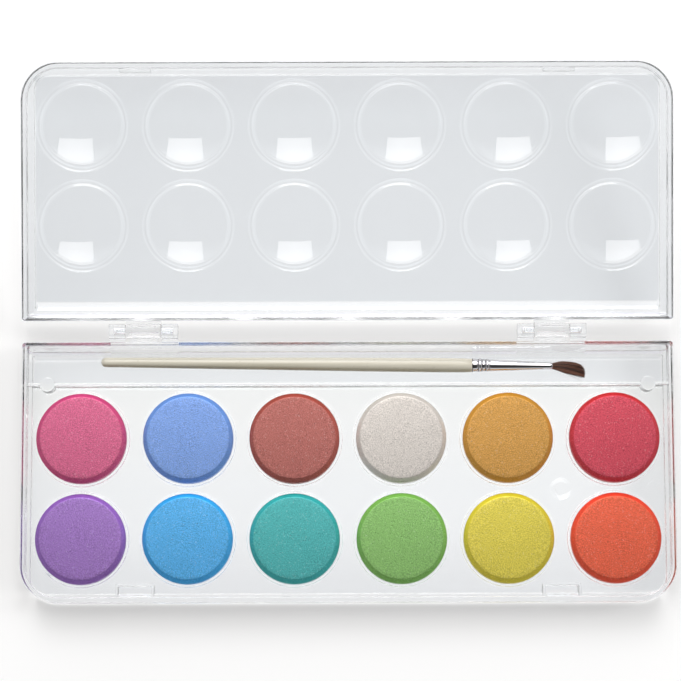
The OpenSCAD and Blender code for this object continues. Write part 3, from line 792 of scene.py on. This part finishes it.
def make_brush():
    prof = [(0, 0.0)]
    for k in range(1, 9):
        a = math.radians(90 * k / 8)
        prof.append((BUTT_R * math.sin(a), BUTT_R * (1 - math.cos(a))))
    z = 4.0
    while z < HANDLE_L - 0.5:
        # softened polyline, as a turned handle is
        prof.append((sum(handle_r(max(BUTT_R, min(HANDLE_L, z + d))) for d in (-6, -3, 0, 3, 6)) / 5 - 0.015, z))
        z += 2.5
    prof += [(FR0 - 0.04, HANDLE_L - 0.15), (FR0 - 0.12, HANDLE_L), (1.88, HANDLE_L), (1.85, HANDLE_L + 8), (0, HANDLE_L + 8)]
    ob = new_obj("brush_handle_lacquered", *revolve(prof, 48))
    transform(ob, BRUSH)
    smooth(ob, 40, False)
    ob.visible_shadow = ob.visible_diffuse = False
    ob.data.materials.append(handle_material())
    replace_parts(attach(ob, "brush"), "brush_handle")

    k = (FR1 - FR0) / FERRULE_L
    ro = lambda q: FR0 + k * q
    pts = [(1.93, 0.0), (FR0 - 0.06, 0.0), (FR0 + 0.01, 0.07)]
    q = 0.4
    while q < FERRULE_L - 0.3:
        r = ro(q)
        for c in (2.7, 5.2):
            d = q - c
            r += 0.12 * math.exp(-(d / 0.36) ** 4) - 0.14 * (math.exp(-((d - 0.68) / 0.22) ** 2) + math.exp(-((d + 0.68) / 0.22) ** 2))
        pts.append((r, q))
        q += 0.08 if q < 8 else 1.2
    pts += [(FR1 + 0.02, FERRULE_L - 0.25), (FR1 - 0.03, FERRULE_L - 0.04), (FR1 - 0.1, FERRULE_L), (FR1 - 0.2, FERRULE_L - 0.05), (ro(8.1) - 0.28, 8.1), (1.93, 8.02)]
    ob = new_obj("brush_ferrule_tube", *revolve([(r, HANDLE_L + 0.02 + z) for r, z in pts], 48))
    # darker in the crimp grooves and at the ferrule's mouth
    groove_dark = ob.data.attributes.new("groove", "FLOAT", "POINT")
    at = [q.co.z - HANDLE_L - 0.02 for q in ob.data.vertices]
    groove_dark.data.foreach_set("value", [min(1.0, sum(math.exp(-((z - c) / 0.2) ** 2) for c in (0.1, 2.7 - 0.62, 2.7 + 0.62, 5.2 - 0.62, 5.2 + 0.62))) for z in at])
    transform(ob, BRUSH)
    smooth(ob, 50, False)
    ob.visible_shadow = ob.visible_diffuse = False
    ob.data.materials.append(ferrule_material())
    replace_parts(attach(ob, "brush"), "brush_ferrule")


def make_tuft():
    """A bundle of separate tapered hairs, swelling past the ferrule, leaning to one side and a little splayed at the tip."""
    rng = random.Random(21)
    z0 = HANDLE_L + 0.02 + FERRULE_L
    verts, faces, tones = [], [], []

    # stations along the brush: centre across the trough, half width across, half height
    Z = (-3.0, -0.3, 1.2, 2.6, 5.0, 8.0, 10.4, 12.0)
    MID = (0.0, 0.0, 0.0, -0.05, -0.43, -1.02, -1.85, -2.6)
    WIDE = (0.78, 0.86, 1.22, 1.62, 2.02, 2.26, 2.15, 2.0)
    TALL = (0.78, 0.86, 1.2, 1.5, 1.6, 1.3, 1.0, 0.8)

    def along(vals, z):
        i = max(k for k in range(len(Z) - 1) if Z[k] <= z + 1e-9)
        t = (z - Z[i]) / (Z[i + 1] - Z[i])
        g = lambda k: (vals[min(k + 1, len(Z) - 1)] - vals[max(k - 1, 0)]) / (Z[min(k + 1, len(Z) - 1)] - Z[max(k - 1, 0)])
        h = Z[i + 1] - Z[i]
        return ((2 * t ** 3 - 3 * t * t + 1) * vals[i] + (t ** 3 - 2 * t * t + t) * h * g(i)
                + (3 * t * t - 2 * t ** 3) * vals[i + 1] + (t ** 3 - t * t) * h * g(i + 1))

    def strand(place, end, r0, tone, steps=14, sides=5):
        base = len(verts)
        tones.extend([tone] * ((steps + 1) * sides))
        for a in range(steps + 1):
            t = a / steps
            x, y, z = place(Z[0] + (end - Z[0]) * t)
            r = r0 * (1 - 0.75 * t ** 3)
            for s in range(sides):
                q = 2 * math.pi * s / sides
                verts.append((x + r * math.cos(q), y + r * math.sin(q), z0 + z))
        for a in range(steps):
            for s in range(sides):
                s2 = (s + 1) % sides
                i0 = base + a * sides
                faces.append((i0 + s, i0 + s2, i0 + sides + s2, i0 + sides + s))
        faces.append(tuple(reversed([base + s for s in range(sides)])))
        faces.append(tuple(base + steps * sides + s for s in range(sides)))

    # local axes here: x is up or down, y is across the trough, z runs along the brush
    n = 320
    locks = [(0.85 * math.sqrt((k + 0.5) / 26) * math.cos(2.4 * k), 0.95 * math.sqrt((k + 0.5) / 26) * math.sin(2.4 * k)) for k in range(26)]
    shade = [rng.random() for q in locks]
    for i in range(n):
        u = math.sqrt((i + 0.5) / n)
        a = i * 2.399963
        cx, cy = u * math.cos(a), u * math.sin(a)
        lx, ly = min(locks, key=lambda q: (q[0] - cx) ** 2 + (q[1] - cy) ** 2)
        jx, jy, pull = rng.uniform(-0.16, 0.16), rng.uniform(-0.2, 0.2), rng.uniform(0.25, 0.6)
        end = 10.75 - 0.95 * max(0, cy) ** 2 - 0.4 * max(0, -cy) ** 2 + rng.uniform(-0.5, 0.35)
        if rng.random() < 0.14:
            end -= 1.8 * rng.random()

        def place(z):
            f = max(0.0, z / 10) ** 1.6
            px, py = cx + (lx - cx) * pull * f, cy + (ly - cy) * pull * f
            return along(TALL, z) * px + jx * f, along(MID, z) + along(WIDE, z) * py + jy * f, z

        strand(place, end, rng.uniform(0.09, 0.16), 0.3 * shade[locks.index((lx, ly))] + 0.7 * rng.random())
    # stray hairs along the lower edge
    strand(lambda z: (0.2, -0.7 - 4.3 * (max(0.0, z + 1) / 10.9) ** 1.25, z), 9.9, 0.055, 0.5)
    strand(lambda z: (0.5, -0.6 - 3.7 * (max(0.0, z + 1) / 10.6) ** 1.15, z), 9.6, 0.05, 0.4)
    ob = new_obj("brush_tuft_hairs", verts, faces)
    tone = ob.data.attributes.new("tone", "FLOAT", "POINT")
    tone.data.foreach_set("value", tones)
    transform(ob, BRUSH)
    smooth(ob, 80, False)
    ob.visible_shadow = ob.visible_diffuse = False
    ob.data.materials.append(hair_material())
    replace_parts(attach(ob, "brush"), "brush_tuft")


make_brush()
make_tuft()
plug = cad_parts["brush_glue_plug"]
plug.visible_shadow = plug.visible_diffuse = False
plug.data.materials.clear()
plug.data.materials.append(glue_material())

# ---------------------------------------------------------------- floor, light, camera
bm = bmesh.new()
bmesh.ops.create_grid(bm, x_segments=8, y_segments=8, size=3.0)
me = bpy.data.meshes.new("floor")
bm.to_mesh(me)
bm.free()
floor = bpy.data.objects.new("floor", me)
floor.location = (0, 0, -0.0003)
sc.collection.objects.link(floor)
m, nt, p, out = material("floor_white")
p.inputs["Roughness"].default_value = 0.85
p.inputs["Specular IOR Level"].default_value = 0.15
p.inputs["Base Color"].default_value = (0.97, 0.97, 0.97, 1)
me.materials.append(m)

w = bpy.data.worlds.new("studio")
sc.world = w
w.use_nodes = True
nt = w.node_tree
bg = nt.nodes["Background"]
# pale room, dark overhead and in front, on the side the camera stands
tc = nt.nodes.new("ShaderNodeTexCoord")
dp = node(nt, "ShaderNodeVectorMath", operation="DOT_PRODUCT")
nt.links.new(tc.outputs["Generated"], dp.inputs[0])
dp.inputs[1].default_value = Vector((0, -1, 1)).normalized()
half = node(nt, "ShaderNodeMath", operation="MULTIPLY_ADD")
nt.links.new(dp.outputs["Value"], half.inputs[0])
half.inputs[1].default_value = half.inputs[2].default_value = 0.5
sky = ramp(nt, half.outputs[0], [(0.1, 1.9), (0.3, 1.5), (0.5, 1.1), (0.65, 1.05), (0.75, 0.08), (1.0, 0.04)])
up = nt.nodes.new("ShaderNodeSeparateXYZ")
nt.links.new(tc.outputs["Generated"], up.inputs[0])
low = ramp(nt, up.outputs["Z"], [(0.0, 0.6), (0.3, 0.7), (0.5, 0.65), (0.6, 0.03)])
nt.links.new(mix_col(nt, 1.0, sky, low, "LIGHTEN"), bg.inputs[0])
bg.inputs[1].default_value = 0.955


def softbox(name, loc, aim, wide, tall, radiance, fall=0.0, color=(1, 1, 1)):
    la = bpy.data.lights.new(name, "AREA")
    la.shape, la.size, la.size_y = "RECTANGLE", wide, tall
    la.energy = radiance * math.pi * wide * tall
    la.color = color
    if fall:
        # brighter in the middle than at the edges
        la.use_nodes = True
        nt = la.node_tree
        em = nt.nodes["Emission"]
        sub = node(nt, "ShaderNodeVectorMath", operation="SUBTRACT")
        nt.links.new(nt.nodes.new("ShaderNodeNewGeometry").outputs["Parametric"], sub.inputs[0])
        sub.inputs[1].default_value = (0.5, 0.5, 0)
        ln = node(nt, "ShaderNodeVectorMath", operation="LENGTH")
        nt.links.new(sub.outputs[0], ln.inputs[0])
        nt.links.new(ramp(nt, ln.outputs["Value"], [(0.15, 1.0), (0.7, 1.0 - fall)]), em.inputs["Strength"])
    ob = bpy.data.objects.new(name, la)
    sc.collection.objects.link(ob)
    ob.location = loc
    ob.rotation_euler = Vector(aim).to_track_quat("-Z", "Y").to_euler()
    return ob


softbox("key_near", (-0.052, 0.562, 1.278), (0, -0.426, -0.905), 0.81, 0.70, 2.5, 0.3, (1.02, 0.985, 0.96))
softbox("key_far", (-0.052, 1.193, 0.981), (0, -0.426, -0.905), 0.81, 0.693, 4.95)
side = softbox("side", (2.6, 0.3, 1.4), (-2.6, -0.25, -1.38), 1.1, 1.1, 8.0)
# it throws the soft shadow, and leaves no glint of its own
side.visible_glossy = side.visible_transmission = False

# camera fitted to the photograph's view
F_PX, IMG = 2928.0, 681.0
TH, ROLL = 0.15171, -0.00287
cam = bpy.data.cameras.new("view")
cam.sensor_width, cam.sensor_fit = 36.0, "HORIZONTAL"
cam.lens = F_PX / IMG * 36.0
cam.clip_start, cam.clip_end = 0.01, 20
co = bpy.data.objects.new("view", cam)
sc.collection.objects.link(co)
fwd = Vector((0, math.sin(TH), -math.cos(TH)))
right = Vector((1, 0, 0))
up = right.cross(fwd)
r2 = right * math.cos(ROLL) + up * math.sin(ROLL)
u2 = up * math.cos(ROLL) - right * math.sin(ROLL)
mat = Matrix((r2, u2, -fwd)).transposed().to_4x4()
mat.translation = Vector((-2.3686, -103.7295, 972.3567)) * MM
co.matrix_world = mat
sc.camera = co

sc.view_settings.view_transform = "Standard"
sc.view_settings.look = "None"
sc.cycles.max_bounces = 24
sc.cycles.transmission_bounces = 20
sc.cycles.glossy_bounces = 8
sc.cycles.diffuse_bounces = 5
sc.cycles.transparent_max_bounces = 48
